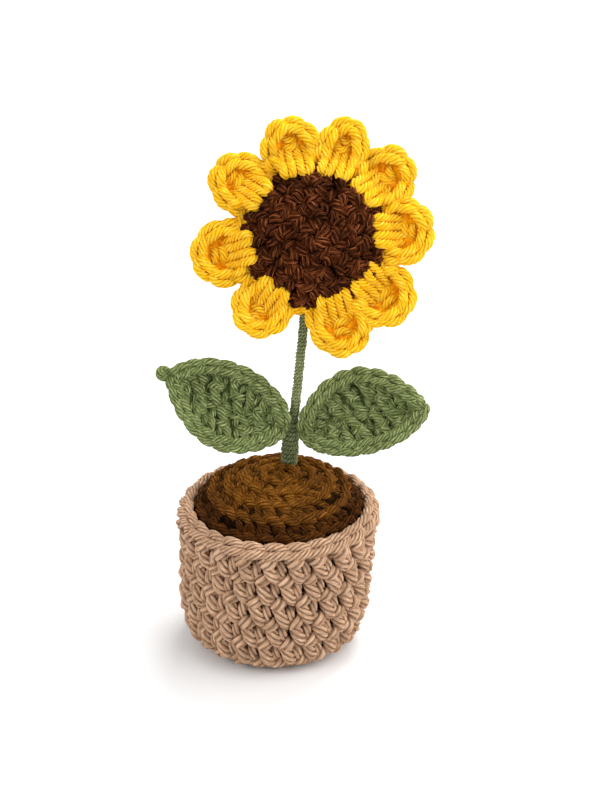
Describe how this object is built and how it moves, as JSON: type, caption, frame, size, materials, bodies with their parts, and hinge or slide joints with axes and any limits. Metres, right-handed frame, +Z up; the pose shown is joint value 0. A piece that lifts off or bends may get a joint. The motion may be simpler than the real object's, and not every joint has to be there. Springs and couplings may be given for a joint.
{
  "type": "crocheted potted sunflower",
  "caption": "Small stuffed sunflower worked in crochet, on a wound wire stem with leaves, in a filled crochet pot that stands on its flat bottom.",
  "frame": {"origin": "middle of the pot's flat bottom, on the surface that the pot stands on", "axes": "+Z up along the stem; the flower's face looks along -Y and upwards; +X to the right of someone facing the flower"},
  "size_m": [0.0877, 0.0654, 0.1734],
  "materials": {
    "pot_yarn": "soft spun yarn, matt",
    "soil_yarn": "soft spun yarn, matt",
    "centre_yarn": "soft spun yarn, matt",
    "petal_yarn": "soft spun yarn, matt",
    "leaf_yarn": "soft spun yarn, matt",
    "stem_yarn": "soft spun yarn, matt",
    "fibre_fill": "loose white polyester fibre",
    "wire": "plain drawn wire"
  },
  "bodies": {
    "root": {"pot": "pot_yarn", "soil": "soil_yarn", "pot_stuffing": "fibre_fill", "stem_wire": "wire", "stem_winding": "stem_yarn", "leaf_left": "leaf_yarn", "leaf_right": "leaf_yarn", "flower_centre": "centre_yarn", "flower_back": "centre_yarn", "head_stuffing": "fibre_fill", "petal_01": "petal_yarn", "petal_02": "petal_yarn", "petal_03": "petal_yarn", "petal_04": "petal_yarn", "petal_05": "petal_yarn", "petal_06": "petal_yarn", "petal_07": "petal_yarn", "petal_08": "petal_yarn", "petal_09": "petal_yarn"}
  },
  "joints": []
}
